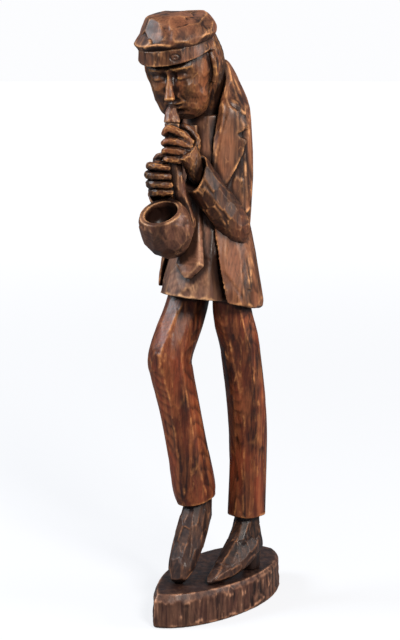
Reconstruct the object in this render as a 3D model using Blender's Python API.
"""Carved wooden saxophone player on a leaf-shaped plinth, 1 m tall, as dowelled and glued pieces.

Metres, +Z up. The figure faces -Y and its left side is +X. The origin is on the plinth's underside, in the
middle of its footprint. Every carved form is a skin over rings that follow a few stations.
"""

import math

import bmesh
import bpy
import numpy as np
from mathutils import Matrix, Vector

# ---------------------------------------------------------------- driving dimensions

GAP = 0.0004  # left between pieces that touch
PLINTH_TOP = 0.056
FLOAT_UP = PLINTH_TOP + GAP
SLEEVE_WALL = 0.005
DOWEL_RADIUS = 0.004
DOWEL_HOLE = DOWEL_RADIUS + GAP
DOWEL_END_ROOM = 0.001

LIMB_SIDES = 14
BODY_SIDES = 24
FINGER_SIDES = 8

HEAD_CENTRE = Vector((-0.008, -0.080, 0.871))
HEAD_TURN = math.radians(14)  # to the figure's left
HEAD_NOD = math.radians(14)
HEAD_LEAN = math.radians(-5)  # to the figure's right
HEAD_FRAME = (
    Matrix.Translation(HEAD_CENTRE)
    @ Matrix.Rotation(HEAD_TURN, 4, "Z")
    @ Matrix.Rotation(HEAD_NOD, 4, "X")
    @ Matrix.Rotation(HEAD_LEAN, 4, "Y")
)

BELL_MOUTH = Vector((-0.0026, -0.147, 0.676))
BELL_AXIS = Vector((0.08, -0.54, 0.84)).normalized()  # out of the mouth: forwards and up

# ---------------------------------------------------------------- wood finishes

FINISHES = {
    "skin_wood": ("skin_wood", (0.24, 0.105, 0.05), 0.40),
    "cloth_wood": ("cloth_wood", (0.17, 0.08, 0.045), 0.42),
    "trouser_wood": ("trouser_wood", (0.15, 0.06, 0.03), 0.42),
    "shoe_wood": ("shoe_wood", (0.10, 0.05, 0.03), 0.38),
    "horn_wood": ("horn_wood", (0.18, 0.09, 0.045), 0.38),
    "plinth_wood": ("plinth_wood", (0.12, 0.05, 0.028), 0.46),
    "dowel_wood": ("dowel_wood", (0.62, 0.46, 0.28), 0.60),
}


def finish(slot):
    """The Principled material of one wood finish, made once."""
    name, colour, roughness = FINISHES[slot]
    material = bpy.data.materials.get(name)
    if material is None:
        material = bpy.data.materials.new(name)
        material.use_nodes = True
        shader = material.node_tree.nodes["Principled BSDF"]
        shader.inputs["Base Color"].default_value = (*colour, 1.0)
        shader.inputs["Roughness"].default_value = roughness
        shader.inputs["Metallic"].default_value = 0.0
    return material


# ---------------------------------------------------------------- building forms


def curve_through(stations, count):
    """Rows of a Catmull-Rom curve through the stations, count of them, evenly spread."""
    p = np.array(stations, float)
    held = np.vstack([2 * p[0] - p[1], p, 2 * p[-1] - p[-2]])
    s = np.linspace(0, len(p) - 1, count)
    i = np.minimum(s.astype(int), len(p) - 2)
    f = (s - i)[:, None]
    a, b, c, d = held[i], held[i + 1], held[i + 2], held[i + 3]
    return b + 0.5 * f * (c - a + f * (2 * a - 5 * b + 4 * c - d + f * (3 * (b - c) + d - a)))


def unit(vectors):
    return vectors / np.linalg.norm(vectors, axis=-1, keepdims=True)


def rings_along(stations, sides, rings, power=2.0, front=(0, -1, 0), dome=(0, 0), faces=(None, None)):
    """Rings round a path. A station is x, y, z, half width, half depth; power squares the section.

    dome gives how far each end bulges past its last station, and faces which way a slanted end looks.
    """
    rows = curve_through(stations, rings)
    centre, half = rows[:, :3], rows[:, 3:5]
    along = unit(np.gradient(centre, axis=0))
    for face, order in zip(faces, (range(3), range(-1, -4, -1))):
        for row, share in zip(order, (1.0, 0.66, 0.33)):
            if face is not None:
                along[row] = unit(along[row] * (1 - share) + unit(np.array(face, float)) * share)
    for end, length in ((0, dome[0]), (-1, dome[1])):
        if length:
            steps = np.radians([30, 60, 80])[:, None]
            way = -along[0] if end == 0 else along[-1]
            tips = centre[end] + way * length * np.sin(steps)
            halves = half[end] * np.cos(steps)
            runs = np.repeat(along[end][None], 3, axis=0)
            if end == 0:
                centre, half = np.vstack([tips[::-1], centre]), np.vstack([halves[::-1], half])
                along = np.vstack([runs, along])
            else:
                centre, half = np.vstack([centre, tips]), np.vstack([half, halves])
                along = np.vstack([along, runs])
    side = unit(np.cross(along, np.array(front, float)))
    depth = np.cross(side, along)
    angle = np.linspace(0, 2 * math.pi, sides, endpoint=False)
    across, ahead = np.sin(angle), np.cos(angle)
    reach = (np.abs(across) ** power + np.abs(ahead) ** power) ** (-1 / power)
    across, ahead = across * reach, ahead * reach
    return (
        centre[:, None]
        + side[:, None] * (half[:, :1] * across)[..., None]
        + depth[:, None] * (half[:, 1:] * ahead)[..., None]
    )


def skin(name, rings, slot):
    """One closed object from rings of equal length, with a fan of faces over each end."""
    count, sides = rings.shape[:2]
    points = [tuple(p) for p in rings.reshape(-1, 3)]
    faces = []
    for i in range(count - 1):
        for j in range(sides):
            k = (j + 1) % sides
            faces.append((i * sides + j, i * sides + k, (i + 1) * sides + k, (i + 1) * sides + j))
    points += [tuple(rings[0].mean(0)), tuple(rings[-1].mean(0))]
    low, high, last = len(points) - 2, len(points) - 1, (count - 1) * sides
    for j in range(sides):
        k = (j + 1) % sides
        faces.append((low, k, j))
        faces.append((high, last + j, last + k))
    mesh = bpy.data.meshes.new(name)
    mesh.from_pydata(points, [], faces)
    mesh.materials.append(finish(slot))
    mesh.shade_smooth()
    mesh.set_sharp_from_angle(angle=math.radians(40))
    piece = bpy.data.objects.new(name, mesh)
    bpy.context.scene.collection.objects.link(piece)
    return piece


def carve(name, stations, slot, sides=LIMB_SIDES, rings=12, **shape):
    """A carved form along its stations."""
    return skin(name, rings_along(stations, sides, rings, **shape), slot)


def as_tool(piece):
    """Turns an object into a cutter or an added shape that isn't a piece itself."""
    piece.hide_render = True
    piece.display_type = "WIRE"
    return piece


def grown(piece, gap=GAP):
    """A hidden copy of a piece, swollen by the gap, to cut its neighbours back with."""
    copy = piece.copy()
    copy.data = piece.data.copy()
    copy.name = "room_for_" + piece.name
    bpy.context.scene.collection.objects.link(copy)
    copy.modifiers.clear()
    mesh = bmesh.new()
    mesh.from_mesh(copy.data)
    mesh.normal_update()
    moved = [(v, v.co + v.normal * gap) for v in mesh.verts]
    for vertex, place in moved:
        vertex.co = place
    mesh.to_mesh(copy.data)
    mesh.free()
    return as_tool(copy)


def boolean(piece, tool, operation):
    """Adds a live Boolean to a piece."""
    modifier = piece.modifiers.new(operation.title() + "_" + tool.name, "BOOLEAN")
    modifier.operation = operation
    modifier.object = tool


def cut(piece, *tools):
    for tool in tools:
        boolean(piece, tool, "DIFFERENCE")


def add(piece, *tools):
    for tool in tools:
        boolean(piece, as_tool(tool), "UNION")


def rod(name, start, end, radius, slot="dowel_wood", sides=12):
    """A straight round rod between two points."""
    start, end = Vector(start), Vector(end)
    front = (0, -1, 0) if abs((end - start).normalized().y) < 0.8 else (0, 0, 1)
    stations = [(*start, radius, radius), (*end, radius, radius)]
    return carve(name, stations, slot, sides=sides, rings=2, front=front)


def dowel(name, start, end, *into):
    """A glued dowel, and its hole in each piece that it joins."""
    start, end = Vector(start), Vector(end)
    extra = (end - start).normalized() * DOWEL_END_ROOM
    hole = as_tool(rod("hole_" + name, start - extra, end + extra, DOWEL_HOLE))
    for piece in into:
        cut(piece, hole)
    return rod(name, start, end, DOWEL_RADIUS)


def block(name, low, high, turn=None):
    """A plain box tool between two corners, turned about X through its centre if asked."""
    low, high = Vector(low), Vector(high)
    mesh = bpy.data.meshes.new(name)
    shape = bmesh.new()
    bmesh.ops.create_cube(shape, size=1.0)
    size = high - low
    bmesh.ops.scale(shape, verts=shape.verts, vec=size)
    shape.to_mesh(mesh)
    shape.free()
    piece = bpy.data.objects.new(name, mesh)
    bpy.context.scene.collection.objects.link(piece)
    piece.location = (low + high) / 2
    if turn:
        piece.rotation_euler = turn
    return as_tool(piece)


# ---------------------------------------------------------------- plinth


def bezier(a, b, c, d, count):
    """count points of a cubic Bezier from a, short of d."""
    t = np.linspace(0, 1, count, endpoint=False)[:, None]
    a, b, c, d = (np.array(p, float) for p in (a, b, c, d))
    return a * (1 - t) ** 3 + 3 * b * t * (1 - t) ** 2 + 3 * c * t**2 * (1 - t) + d * t**3


PLINTH_TIP = (-0.012, -0.160)
PLINTH_BACK = (0.008, 0.168)
PLINTH_LEFT = ((0.075, -0.140), (0.115, 0.105))
PLINTH_RIGHT = ((-0.070, 0.190), (-0.140, -0.010))


def plinth_outline(count):
    """The leaf-shaped footprint, from its tip round by the figure's left."""
    left = bezier(PLINTH_TIP, *PLINTH_LEFT, PLINTH_BACK, count)
    right = bezier(PLINTH_BACK, *PLINTH_RIGHT, PLINTH_TIP, count)
    return np.vstack([left, right])


def make_plinth():
    outline = plinth_outline(14)
    share = (outline[:, 1] - PLINTH_TIP[1]) / (PLINTH_BACK[1] - PLINTH_TIP[1])
    edge = 0.044 + 0.008 * share
    inset = outline * 0.93
    rings = np.array(
        [
            np.column_stack([outline * 0.975, np.zeros(len(outline))]),
            np.column_stack([outline, np.full(len(outline), 0.004)]),
            np.column_stack([outline * 0.985, edge]),
            np.column_stack([inset, np.full(len(outline), PLINTH_TOP)]),
        ]
    )
    return skin("plinth", rings, "plinth_wood")


# ---------------------------------------------------------------- legs and shoes

LEFT_LEG = [
    (0.033, -0.004, 0.575, 0.026, 0.030),
    (0.034, 0.000, 0.500, 0.028, 0.031),
    (0.039, 0.014, 0.444, 0.029, 0.031),
    (0.041, 0.032, 0.335, 0.029, 0.030),
    (0.039, 0.040, 0.240, 0.028, 0.030),
    (0.038, 0.037, 0.153, 0.029, 0.032),
]
RIGHT_LEG = [
    (-0.034, -0.010, 0.575, 0.027, 0.032),
    (-0.038, -0.030, 0.505, 0.031, 0.034),
    (-0.046, -0.062, 0.434, 0.032, 0.035),
    (-0.044, -0.062, 0.402, 0.031, 0.034),
    (-0.036, -0.052, 0.345, 0.029, 0.032),
    (-0.028, -0.041, 0.275, 0.029, 0.033),
    (-0.022, -0.032, 0.212, 0.030, 0.037),
    (-0.019, -0.028, 0.184, 0.028, 0.034),
]
LEFT_FOOT = [
    (0.038, 0.037, 0.166, 0.020, 0.022),
    (0.038, 0.038, 0.135, 0.020, 0.024),
    (0.039, 0.038, 0.108, 0.023, 0.038),
    (0.040, 0.010, 0.086, 0.025, 0.025),
    (0.038, -0.026, 0.072, 0.022, 0.015),
    (0.035, -0.056, 0.063, 0.012, 0.008),
    (0.034, -0.068, 0.060, 0.005, 0.004),
]
RIGHT_FOOT = [
    (-0.018, -0.026, 0.198, 0.019, 0.021),
    (-0.018, -0.026, 0.172, 0.021, 0.026),
    (-0.018, -0.040, 0.138, 0.023, 0.027),
    (-0.017, -0.060, 0.106, 0.025, 0.021),
    (-0.014, -0.080, 0.078, 0.022, 0.015),
    (-0.010, -0.091, 0.064, 0.015, 0.009),
]
SOLE_ARCH = 0.022
UNDERCUT = 0.003  # round the shirt's hem
HEM_HEIGHT = 0.519
HEM_TURN = (math.radians(-12.5), math.radians(7), 0)


def trouser_leg(name, stations, shoe_room):
    """A trouser leg with a shallow socket in its hem for the ankle."""
    leg = carve(name, stations[::-1], "trouser_wood", rings=16, power=2.5)
    cut(leg, shoe_room)
    return leg


def make_left_shoe():
    """A pointed shoe that stands on its toe and on a heel block, with daylight under the sole."""
    rings = rings_along(LEFT_FOOT[::-1], LIMB_SIDES, 15, power=2.3)
    share = np.clip((rings[..., 1] + 0.040) / 0.075, 0, 1)
    sole = FLOAT_UP + SOLE_ARCH * share**2 * (3 - 2 * share)
    rings[..., 2] = np.maximum(rings[..., 2], sole)
    shoe = skin("left_shoe", rings, "shoe_wood")
    heel = carve(
        "left_heel",
        [(0.040, 0.054, FLOAT_UP, 0.017, 0.020), (0.040, 0.054, 0.096, 0.018, 0.021)],
        "shoe_wood",
        rings=2,
        power=3.0,
    )
    add(shoe, heel)
    return shoe


def make_right_shoe():
    """The shoe that stands on its toe, with its heel lifted."""
    rings = rings_along(RIGHT_FOOT[::-1], LIMB_SIDES, 14, power=2.4, dome=(0.006, 0))
    rings[..., 2] = np.maximum(rings[..., 2], FLOAT_UP)
    return skin("right_shoe", rings, "shoe_wood")


# ---------------------------------------------------------------- shirt, tie and jacket

SHIRT = [
    (-0.004, -0.033, 0.528, 0.062, 0.070),
    (-0.003, -0.030, 0.552, 0.059, 0.067),
    (0.000, -0.022, 0.610, 0.053, 0.058),
    (0.001, -0.016, 0.665, 0.050, 0.051),
    (0.000, -0.014, 0.720, 0.048, 0.048),
    (-0.001, -0.014, 0.780, 0.046, 0.045),
    (-0.002, -0.018, 0.824, 0.038, 0.040),
]
JACKET = [
    (0.000, -0.014, 0.460, 0.086, 0.080),
    (0.000, -0.016, 0.520, 0.085, 0.080),
    (0.000, -0.018, 0.580, 0.078, 0.072),
    (0.000, -0.016, 0.640, 0.066, 0.062),
    (0.000, -0.012, 0.690, 0.062, 0.058),
    (0.000, -0.011, 0.750, 0.063, 0.057),
    (0.000, -0.011, 0.800, 0.062, 0.055),
    (0.000, -0.012, 0.835, 0.059, 0.052),
    (-0.001, -0.014, 0.865, 0.048, 0.045),
    (-0.002, -0.018, 0.890, 0.038, 0.036),
    (-0.003, -0.021, 0.907, 0.031, 0.028),
]
OPENING = [
    (0.002, -0.085, 0.440, 0.066, 0.052),
    (0.002, -0.085, 0.520, 0.066, 0.052),
    (0.002, -0.080, 0.600, 0.050, 0.045),
    (0.001, -0.075, 0.650, 0.040, 0.045),
    (0.000, -0.072, 0.690, 0.037, 0.045),
    (0.000, -0.072, 0.744, 0.035, 0.045),
    (-0.001, -0.070, 0.800, 0.037, 0.045),
    (-0.002, -0.070, 0.860, 0.040, 0.050),
    (-0.002, -0.070, 0.940, 0.040, 0.050),
]
LEFT_UPPER_ARM = [
    (0.043, -0.009, 0.842, 0.018, 0.026),
    (0.049, -0.010, 0.790, 0.020, 0.028),
    (0.052, -0.012, 0.720, 0.020, 0.027),
    (0.052, -0.013, 0.672, 0.020, 0.026),
]
RIGHT_UPPER_ARM = [
    (-0.043, -0.010, 0.842, 0.018, 0.026),
    (-0.052, -0.014, 0.790, 0.020, 0.028),
    (-0.058, -0.018, 0.720, 0.020, 0.027),
    (-0.059, -0.020, 0.672, 0.020, 0.026),
]
NECKTIE = [
    (-0.003, -0.059, 0.806, 0.009, 0.006),
    (-0.002, -0.060, 0.780, 0.010, 0.007),
    (0.004, -0.064, 0.700, 0.013, 0.008),
    (0.006, -0.070, 0.651, 0.015, 0.008),
    (0.010, -0.080, 0.620, 0.018, 0.009),
    (0.015, -0.095, 0.588, 0.024, 0.011),
    (0.016, -0.100, 0.576, 0.012, 0.008),
    (0.017, -0.102, 0.568, 0.003, 0.006),
]


def make_upper_arm(name, arm):
    return carve(name, arm[::-1], "cloth_wood", rings=8, dome=(0.014, 0.012), power=2.3)


def open_jacket(jacket, arms, lapels, *inside):
    """Joins the upper arms and lapels to the coat, and hollows it for what stands inside."""
    add(jacket, *arms, *lapels)
    hem = SHIRT[0]
    skirt = [(*hem[:2], height, hem[3] + UNDERCUT, hem[4] + UNDERCUT) for height in (0.44, hem[2] + UNDERCUT)]
    cut(jacket, as_tool(carve("skirt_hollow", skirt, "cloth_wood", sides=BODY_SIDES, rings=2, power=2.3)))
    cut(jacket, as_tool(carve("coat_opening", OPENING, "cloth_wood", rings=18, power=8.0)))
    # The hem drops from front to back, and from the figure's right to its left.
    cut(jacket, block("hem_cut", (-0.15, -0.20, 0.36), (0.15, 0.20, HEM_HEIGHT), HEM_TURN))
    cut(jacket, *inside)


def make_necktie(shirt):
    tie = carve("necktie", NECKTIE[::-1], "cloth_wood", sides=10, rings=16, power=3.0)
    cut(tie, grown(shirt))
    return tie


# ---------------------------------------------------------------- lapels and collars


def plate(name, outline, body, slot, lift, thickness):
    """A flat panel bent over a body of stations.

    Each outline row is an angle round the body, from the front towards the figure's left, and a height.
    """
    rows = curve_through(body, 60)
    corners = np.array(outline, float)
    middle = corners.mean(0)
    rings = []
    for share in (0.0, 0.5, 1.0):
        rings.append(middle + (corners - middle) * max(share, 0.02))

    def on_body(points, out):
        angle, height = np.radians(points[:, 0]), points[:, 1]
        x, y, a, b = (np.interp(height, rows[:, 2], rows[:, k]) for k in (0, 1, 3, 4))
        return np.column_stack([x + (a + out) * np.sin(angle), y - (b + out) * np.cos(angle), height])

    inner = [on_body(r, lift) for r in rings]
    outer = [on_body(r, lift + thickness) for r in rings]
    loop = np.array(inner + outer[::-1])
    return skin(name, loop, slot)


LEFT_LAPEL = [(34, 0.745), (37, 0.692), (52, 0.712), (64, 0.738), (82, 0.782), (64, 0.793), (38, 0.797)]
LEFT_COLLAR = [(38, 0.790), (62, 0.790), (86, 0.803), (84, 0.838), (60, 0.854), (46, 0.840)]


def make_lapels(label, side):
    """The lapel and the collar above its notch, sunk a little into the coat."""
    plates = []
    for part, outline in (("lapel", LEFT_LAPEL), ("collar", LEFT_COLLAR)):
        turned = [(side * angle, height) for angle, height in outline[::side]]
        plates.append(plate(f"{label}_{part}", turned, JACKET, "cloth_wood", -0.003, 0.008))
    return plates


# ---------------------------------------------------------------- sleeves and hands

LEFT_SLEEVE = [
    (0.0585, -0.017, 0.632, 0.024, 0.017),
    (0.0570, -0.028, 0.645, 0.029, 0.021),
    (0.0490, -0.048, 0.672, 0.029, 0.023),
    (0.0350, -0.068, 0.703, 0.029, 0.024),
    (0.0210, -0.088, 0.732, 0.031, 0.025),
]
RIGHT_SLEEVE = [
    (-0.0605, -0.012, 0.647, 0.015, 0.014),
    (-0.060, -0.024, 0.657, 0.021, 0.019),
    (-0.056, -0.048, 0.672, 0.022, 0.020),
    (-0.051, -0.068, 0.688, 0.024, 0.021),
    (-0.046, -0.086, 0.704, 0.026, 0.022),
]
CUFF_DEPTH = 0.022
WRIST_HALF = (0.012, 0.0115)
LEFT_MOUTH_FACES = (-0.31, -0.80, 0.36)
RIGHT_MOUTH_FACES = (0.20, -0.80, 0.52)
UP = (0, 0, 1)
LEFT_PALM = [
    (0.0215, -0.0860, 0.7310, 0.013, 0.011),
    (0.0240, -0.1000, 0.7520, 0.018, 0.011),
    (0.0245, -0.1120, 0.7690, 0.021, 0.009),
]
RIGHT_PALM = [
    (-0.0455, -0.0880, 0.7055, 0.012, 0.012),
    (-0.0410, -0.1040, 0.7180, 0.018, 0.011),
    (-0.0370, -0.1180, 0.7270, 0.022, 0.009),
]
FINGER_RADIUS = 0.0060
LEFT_FINGERS = [
    [(0.027, -0.108, 0.782), (0.018, -0.126, 0.797), (0.004, -0.134, 0.804), (-0.004, -0.135, 0.796)],
    [(0.027, -0.110, 0.775), (0.018, -0.128, 0.783), (0.004, -0.136, 0.785), (-0.005, -0.135, 0.781)],
    [(0.026, -0.110, 0.765), (0.017, -0.128, 0.769), (0.003, -0.136, 0.771), (-0.005, -0.134, 0.768)],
    [(0.024, -0.108, 0.755), (0.016, -0.125, 0.756), (0.003, -0.133, 0.757), (-0.004, -0.132, 0.755)],
]
LEFT_THUMB = [(0.026, -0.096, 0.764), (0.026, -0.092, 0.785), (0.017, -0.097, 0.801), (0.008, -0.103, 0.807)]
RIGHT_FINGERS = [
    [(-0.035, -0.116, 0.742), (-0.031, -0.137, 0.7455), (-0.015, -0.145, 0.7455), (0.002, -0.134, 0.7435)],
    [(-0.036, -0.117, 0.731), (-0.032, -0.140, 0.732), (-0.015, -0.148, 0.731), (0.004, -0.134, 0.730)],
    [(-0.035, -0.117, 0.719), (-0.031, -0.138, 0.718), (-0.014, -0.145, 0.718), (0.005, -0.132, 0.717)],
    [(-0.034, -0.115, 0.710), (-0.029, -0.134, 0.7055), (-0.014, -0.140, 0.7055), (0.003, -0.128, 0.7055)],
]
RIGHT_THUMB = [
    (-0.037, -0.112, 0.740),
    (-0.032, -0.115, 0.755),
    (-0.020, -0.115, 0.761),
    (-0.008, -0.109, 0.761),
]


def make_sleeve(name, stations, side, mouth_faces):
    """A forearm sleeve with a hollow, slanted cuff."""
    style = {"front": (side, 0, 0), "faces": (None, mouth_faces), "power": 2.15}
    sleeve = carve(name, stations, "cloth_wood", rings=11, dome=(0.009, 0), **style)
    out = unit(np.array(mouth_faces, float))
    mouth = np.array(stations[-1])
    hollow = []
    for depth, wall in ((-0.010, SLEEVE_WALL - 0.001), (0.0, SLEEVE_WALL), (CUFF_DEPTH, 2 * SLEEVE_WALL)):
        hollow.append((*(mouth[:3] - out * depth), mouth[3] - wall, mouth[4] - wall))
    style["faces"] = (mouth_faces, mouth_faces)
    cut(sleeve, as_tool(carve("hollow_in_" + name, hollow[::-1], "cloth_wood", rings=5, **style)))
    return sleeve


def wrist_place(stations, mouth_faces):
    """Where the wrist stands on the floor of the cuff's hollow."""
    out = unit(np.array(mouth_faces, float))
    return np.array(stations[-1][:3]) - out * (CUFF_DEPTH - 2 * GAP), out


def make_hand(name, sleeve_stations, mouth_faces, palm, fingers, thumb, side):
    """A palm with four fingers and a thumb that close round the tube."""
    wrist, _ = wrist_place(sleeve_stations, mouth_faces)
    style = {"front": (side, 0, 0), "dome": (0, 0.005), "power": 2.6, "faces": (mouth_faces, None)}
    hand = carve(name, [(*wrist, *WRIST_HALF), *palm], "skin_wood", sides=12, rings=8, **style)
    for number, bones in enumerate([*fingers, thumb]):
        radii = (1.0, 1.05, 0.95, 0.85)
        stations = [(*b, FINGER_RADIUS * r, FINGER_RADIUS * r) for b, r in zip(bones, radii)]
        digit = carve(
            f"{name}_digit_{number}",
            stations,
            "skin_wood",
            sides=FINGER_SIDES,
            rings=7,
            front=(0, 0, 1),
            dome=(0.003, 0.004),
        )
        add(hand, digit)
    return hand


# ---------------------------------------------------------------- saxophone

SAX_BODY = [
    (0.000, -0.1205, 0.812, 0.0115, 0.0115),
    (0.000, -0.1210, 0.780, 0.0110, 0.0110),
    (0.002, -0.1190, 0.745, 0.0110, 0.0110),
    (0.006, -0.1120, 0.712, 0.0112, 0.0112),
    (0.009, -0.1000, 0.680, 0.0114, 0.0114),
    (0.010, -0.0930, 0.652, 0.0115, 0.0115),
    (0.003, -0.0985, 0.633, 0.0110, 0.0110),
    (-0.007, -0.1080, 0.628, 0.0080, 0.0080),
]
MOUTHPIECE = [
    (-0.003, -0.110, 0.843, 0.0050, 0.0040),
    (-0.002, -0.117, 0.836, 0.0075, 0.0065),
    (-0.001, -0.1205, 0.826, 0.0105, 0.0095),
    (0.000, -0.1208, 0.817, 0.0125, 0.0120),
    (0.000, -0.1205, 0.8124, 0.0125, 0.0120),
]
BELL_PROFILE = [
    (0.000, 0.0345),
    (0.012, 0.0385),
    (0.030, 0.0405),
    (0.046, 0.0395),
    (0.062, 0.0325),
    (0.076, 0.0210),
    (0.084, 0.0105),
]
BELL_HOLLOW = [
    (-0.006, 0.0280),
    (0.004, 0.0265),
    (0.020, 0.0275),
    (0.034, 0.0240),
    (0.044, 0.0150),
    (0.048, 0.0070),
]


def turned(name, profile, slot, sides):
    """A turned form on the bell's axis; each row is a depth under the mouth and a radius."""
    stations = [(*(BELL_MOUTH - BELL_AXIS * depth), radius, radius) for depth, radius in profile]
    return carve(name, stations[::-1], slot, sides=sides, rings=len(profile) * 2, front=(1, 0, 0))


def make_bell():
    bell = turned("sax_bell", BELL_PROFILE, "horn_wood", 20)
    cut(bell, as_tool(turned("bell_hollow", BELL_HOLLOW, "horn_wood", 16)))
    return bell


# ---------------------------------------------------------------- head and cap


def from_head(points):
    """Head coordinates to the figure's: x to its left, y back, z up the tilted head."""
    frame = np.array(HEAD_FRAME)
    return np.asarray(points, float) @ frame[:3, :3].T + frame[:3, 3]


def head_form(name, stations, slot, sides, rings, **shape):
    """A carved form whose stations are in head coordinates."""
    return skin(name, from_head(rings_along(stations, sides, rings, **shape)), slot)


SKULL = [
    (0.000, -0.025, -0.046, 0.018, 0.015),
    (0.000, -0.020, -0.038, 0.030, 0.029),
    (0.000, -0.011, -0.022, 0.040, 0.042),
    (0.000, -0.004, -0.004, 0.045, 0.049),
    (0.000, 0.000, 0.018, 0.050, 0.053),
    (0.000, 0.002, 0.040, 0.050, 0.052),
    (0.000, 0.003, 0.054, 0.047, 0.050),
]
NECK = [
    (0.000, -0.018, 0.806, 0.022, 0.022),
    (-0.002, -0.022, 0.845, 0.029, 0.030),
    (-0.004, -0.030, 0.880, 0.036, 0.037),
    (-0.006, -0.040, 0.912, 0.039, 0.041),
    (-0.010, -0.055, 0.940, 0.038, 0.038),
]
NOSE = [
    (0.000, -0.048, 0.024, 0.005, 0.005),
    (0.000, -0.055, 0.006, 0.006, 0.006),
    (0.000, -0.059, -0.008, 0.008, 0.007),
]
EAR = [
    (0.0490, 0.006, -0.004, 0.005, 0.005),
    (0.0535, 0.008, 0.010, 0.006, 0.008),
    (0.0550, 0.010, 0.028, 0.007, 0.012),
    (0.0530, 0.011, 0.043, 0.006, 0.010),
]
CAP_CROWN = [
    (0.000, 0.004, 0.052, 0.046, 0.052),
    (0.000, 0.003, 0.066, 0.056, 0.062),
    (0.000, 0.003, 0.078, 0.063, 0.067),
    (-0.001, 0.002, 0.093, 0.054, 0.058),
    (-0.003, 0.000, 0.107, 0.035, 0.038),
]
CAP_TOP_FACES = (0.08, 0.06, 1.0)  # back and to the left, in head coordinates
PEAK_REACH = math.radians(118)  # each way from the front
PEAK_INNER = (0.049, 0.053)
PEAK_BRIM = (0.062, 0.070)
PEAK_TOP = (0.059, 0.066)
PEAK_HEIGHTS = (0.046, 0.069)


def make_head():
    """The head with its neck, nose and ears, and the skins that its neighbours are cut back to."""
    head = head_form("head", SKULL, "skin_wood", 18, 13, power=2.3)
    neck = skin("neck", rings_along(NECK, 16, 8), "skin_wood")
    rooms = [grown(head), grown(neck)]
    add(head, neck, head_form("nose", NOSE[::-1], "skin_wood", 8, 6, dome=(0.004, 0.004)))
    for side, label in ((1, "left"), (-1, "right")):
        ear = [(side * s[0], *s[1:]) for s in EAR]
        add(head, head_form(label + "_ear", ear, "skin_wood", 8, 6, dome=(0.004, 0.004)))
    return head, rooms


def make_cap_peak():
    """The crescent brim in front of the crown, thinning out towards both ends."""
    rings = []
    for angle in np.linspace(PEAK_REACH, -PEAK_REACH, 21):
        fade = (angle / PEAK_REACH) ** 2
        way = np.array([math.sin(angle), -math.cos(angle)])
        low = PEAK_HEIGHTS[0] + 0.014 * fade
        high = PEAK_HEIGHTS[1] - 0.004 * fade
        section = []
        for half, height in ((PEAK_INNER, low), (PEAK_BRIM, low), (PEAK_TOP, high), (PEAK_INNER, high)):
            reach = np.array(PEAK_INNER) + (np.array(half) - np.array(PEAK_INNER)) * (1 - 0.45 * fade)
            section.append((*(way * reach), height))
        rings.append(section)
    return skin("cap_peak", from_head(np.array(rings)), "cloth_wood")


def make_cap():
    shape = {"power": 2.2, "dome": (0, 0.006), "faces": (None, CAP_TOP_FACES)}
    crown = head_form("cap_crown", CAP_CROWN, "cloth_wood", 18, 10, **shape)
    return crown, make_cap_peak()


# ---------------------------------------------------------------- assembly


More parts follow.
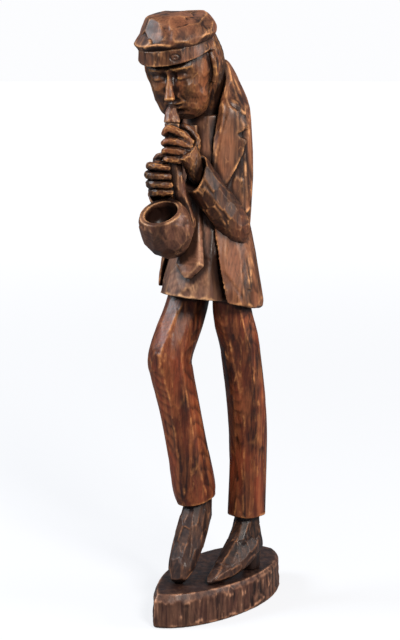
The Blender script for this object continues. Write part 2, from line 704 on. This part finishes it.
def main():
    for thing in list(bpy.data.objects):
        bpy.data.objects.remove(thing)

    plinth = make_plinth()
    left_shoe = make_left_shoe()
    right_shoe = make_right_shoe()
    left_leg = trouser_leg("left_trouser_leg", LEFT_LEG, grown(left_shoe))
    right_leg = trouser_leg("right_trouser_leg", RIGHT_LEG, grown(right_shoe))
    shirt = carve("shirt", SHIRT, "cloth_wood", sides=BODY_SIDES, rings=12, power=2.3)
    tie = make_necktie(shirt)
    jacket = carve("jacket", JACKET, "cloth_wood", sides=BODY_SIDES, rings=20, power=2.25)
    arms = [
        make_upper_arm("left_upper_arm", LEFT_UPPER_ARM),
        make_upper_arm("right_upper_arm", RIGHT_UPPER_ARM),
    ]
    lapels = make_lapels("left", 1) + make_lapels("right", -1)
    coat_rooms = [grown(piece, 2 * GAP) for piece in (jacket, *arms, *lapels)]
    left_sleeve = make_sleeve("left_sleeve", LEFT_SLEEVE, 1, LEFT_MOUTH_FACES)
    right_sleeve = make_sleeve("right_sleeve", RIGHT_SLEEVE, -1, RIGHT_MOUTH_FACES)
    left_arm = (LEFT_SLEEVE, LEFT_MOUTH_FACES)
    right_arm = (RIGHT_SLEEVE, RIGHT_MOUTH_FACES)
    left_hand = make_hand("left_hand", *left_arm, LEFT_PALM, LEFT_FINGERS, LEFT_THUMB, 1)
    right_hand = make_hand("right_hand", *right_arm, RIGHT_PALM, RIGHT_FINGERS, RIGHT_THUMB, -1)
    sax_body = carve("sax_body", SAX_BODY[::-1], "horn_wood", sides=12, rings=22, faces=(None, UP))
    mouthpiece = carve("sax_mouthpiece", MOUTHPIECE[::-1], "horn_wood", sides=12, rings=8, faces=(UP, None))
    bell = make_bell()
    head, head_rooms = make_head()
    crown, peak = make_cap()

    # Each piece is cut back to its neighbours, with the gap between them.
    shirt_room = grown(shirt)
    tie_room = grown(tie)
    leg_rooms = [grown(left_leg), grown(right_leg)]
    cut(shirt, *leg_rooms, *head_rooms)
    open_jacket(jacket, arms, lapels, *head_rooms, shirt_room, *leg_rooms)
    for sleeve in (left_sleeve, right_sleeve):
        cut(sleeve, *coat_rooms, shirt_room, tie_room)
    cut(sax_body, grown(bell))
    for hand in (left_hand, right_hand):
        cut(hand, grown(sax_body), grown(mouthpiece))
    crown_room = grown(crown)
    cut(head, grown(mouthpiece), crown_room)
    cut(peak, crown_room, *head_rooms)

    dowel("left_toe_dowel", (0.037, -0.036, 0.030), (0.037, -0.034, 0.074), plinth, left_shoe)
    dowel("right_toe_dowel", (-0.012, -0.084, 0.030), (-0.014, -0.079, 0.080), plinth, right_shoe)
    dowel("left_ankle_dowel", (0.038, 0.037, 0.142), (0.0385, 0.038, 0.195), left_shoe, left_leg)
    dowel("right_ankle_dowel", (-0.018, -0.027, 0.172), (-0.0205, -0.030, 0.226), right_shoe, right_leg)
    dowel("left_hip_dowel", (0.033, -0.003, 0.548), (0.033, -0.010, 0.606), left_leg, shirt)
    dowel("right_hip_dowel", (-0.034, -0.013, 0.548), (-0.032, -0.018, 0.606), right_leg, shirt)
    dowel("neck_dowel", (0.000, -0.017, 0.772), (-0.002, -0.022, 0.850), shirt, head)
    dowel("left_elbow_dowel", (0.061, -0.010, 0.680), (0.055, -0.052, 0.684), jacket, left_sleeve)
    dowel("right_elbow_dowel", (-0.066, -0.016, 0.674), (-0.062, -0.054, 0.674), jacket, right_sleeve)
    for name, arm, sleeve, hand in (
        ("left_wrist_dowel", left_arm, left_sleeve, left_hand),
        ("right_wrist_dowel", right_arm, right_sleeve, right_hand),
    ):
        wrist, out = wrist_place(*arm)
        dowel(name, wrist - out * 0.010, wrist + out * 0.012, sleeve, hand)
    dowel("mouthpiece_dowel", (0.000, -0.1205, 0.796), (-0.001, -0.1200, 0.826), sax_body, mouthpiece)
    dowel("bell_dowel", (0.0082, -0.0885, 0.651), (0.0043, -0.1008, 0.651), sax_body, bell)
    peg = from_head([(0.000, 0.003, 0.028), (0.000, 0.003, 0.078)])
    dowel("cap_dowel", peg[0], peg[1], head, crown)


main()
